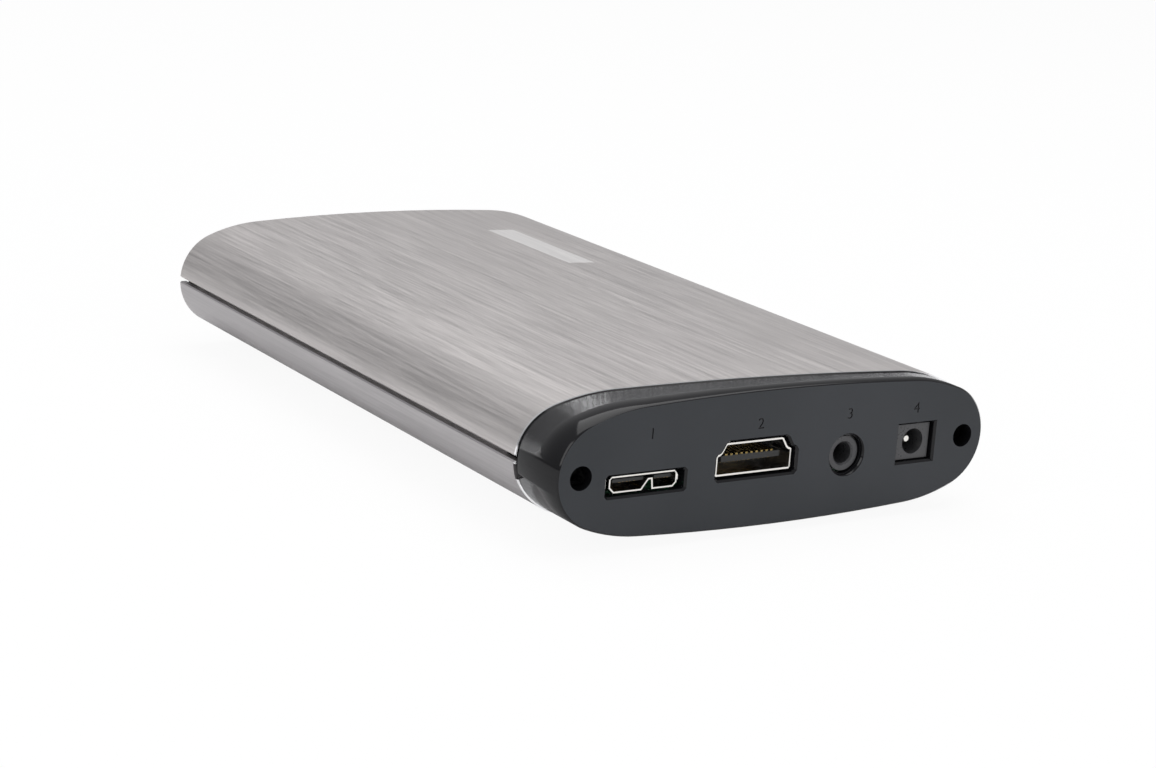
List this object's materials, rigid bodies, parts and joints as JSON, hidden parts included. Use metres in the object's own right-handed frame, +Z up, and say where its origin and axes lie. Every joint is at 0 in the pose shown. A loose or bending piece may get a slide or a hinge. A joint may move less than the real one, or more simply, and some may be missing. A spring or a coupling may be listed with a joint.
{
  "type": "media player with hard drive tray",
  "caption": "Flat oval media player in a two-part aluminium sleeve; a black port cap pulls out a tray with main board and 2.5 inch hard drive.",
  "frame": {"origin": "middle of the footprint at the underside of the rubber feet", "axes": "+Z up, -Y out of the port face (the way the tray pulls out), +X to the right when looking at the port face"},
  "size_m": [0.0858, 0.1414, 0.0246],
  "materials": {
    "shell_top": "brushed, titanium grey",
    "shell_bottom": "brushed, titanium grey",
    "cap_gloss": "gloss black round the side, satin on the port face",
    "tray_plastic": "fine grain",
    "dark_plastic": "fine grain",
    "smoked_window": "smoked, clear to infrared",
    "foot_rubber": "matte",
    "foam": "closed cell foam",
    "bright_screw": "zinc plated",
    "black_screw": "black zinc",
    "bright_metal": "nickel plated",
    "contact_gold": "gold plated",
    "socket_black": "moulded, satin",
    "board_green": "solder mask",
    "chip_black": "moulded epoxy",
    "capacitor_can": "sleeved can",
    "inductor_grey": "pressed ferrite",
    "connector_white": "moulded",
    "ribbon_white": "flat cable",
    "led_blue": "clear",
    "sink_aluminium": "machined",
    "cast_aluminium": "cast, satin",
    "stamped_steel": "stamped, satin",
    "disk_mirror": "polished disks",
    "magnet_nickel": "nickel plated"
  },
  "bodies": {
    "housing": {"upper_shell": "shell_top", "lower_shell": "shell_bottom", "end_cap": "dark_plastic", "signal_window": "smoked_window", "end_cap_screws": "black_screw", "rubber_feet": "foot_rubber", "hold_down_pad": "foam"},
    "tray": {"port_cap": "cap_gloss", "drive_tray": "tray_plastic", "tray_screws": "bright_screw", "main_board": "board_green", "board_screws": "bright_screw", "media_processor": "chip_black", "heat_sink": "sink_aluminium", "memory_chips": "chip_black", "flash_chip": "chip_black", "bridge_chip": "chip_black", "capacitors": "capacitor_can", "inductors": "inductor_grey", "crystals": "bright_metal", "usb_shell": "bright_metal", "usb_insert": "socket_black", "usb_contacts": "contact_gold", "hdmi_shell": "bright_metal", "hdmi_insert": "socket_black", "hdmi_contacts": "contact_gold", "av_jack_body": "socket_black", "av_jack_springs": "contact_gold", "dc_jack_body": "socket_black", "dc_jack_pin": "bright_metal", "dc_jack_spring": "bright_metal", "sata_receptacle": "socket_black", "sata_contacts": "contact_gold", "signal_board": "board_green", "signal_board_screws": "bright_screw", "ir_receiver": "chip_black", "status_led": "led_blue", "ribbon_connectors": "connector_white", "ribbon_cable": "ribbon_white"},
    "left_screw": {"cap_screw_left": "bright_screw"},
    "right_screw": {"cap_screw_right": "bright_screw"},
    "hard_drive": {"drive_base": "cast_aluminium", "drive_cover": "stamped_steel", "drive_board": "board_green", "drive_chips": "chip_black", "drive_plug": "socket_black", "spindle_motor": "cast_aluminium", "coil_magnets": "magnet_nickel", "head_ramp": "connector_white", "cover_screws": "bright_screw"},
    "platters": {"disks": "disk_mirror", "disk_hub": "sink_aluminium"},
    "actuator": {"head_arm": "sink_aluminium"}
  },
  "joints": [
    {"name": "tray_slide", "type": "slide", "parent": "housing", "child": "tray", "axis": [0, -1, 0], "range_m": [0, 0.12]},
    {"name": "left_screw_out", "type": "slide", "parent": "tray", "child": "left_screw", "axis": [0, -1, 0], "range_m": [0, 0.008]},
    {"name": "right_screw_out", "type": "slide", "parent": "tray", "child": "right_screw", "axis": [0, -1, 0], "range_m": [0, 0.008]},
    {"name": "drive_slide", "type": "slide", "parent": "tray", "child": "hard_drive", "axis": [0, 1, 0], "range_m": [0, 0.005]},
    {"name": "disk_spin", "type": "hinge", "parent": "hard_drive", "child": "platters", "pos_m": [0, 0.02665, 0.0148], "axis": [0, 0, 1], "continuous": true},
    {"name": "arm_swing", "type": "hinge", "parent": "hard_drive", "child": "actuator", "pos_m": [0.018, -0.01275, 0.0148], "axis": [0, 0, -1], "range_deg": [0, 30]}
  ]
}
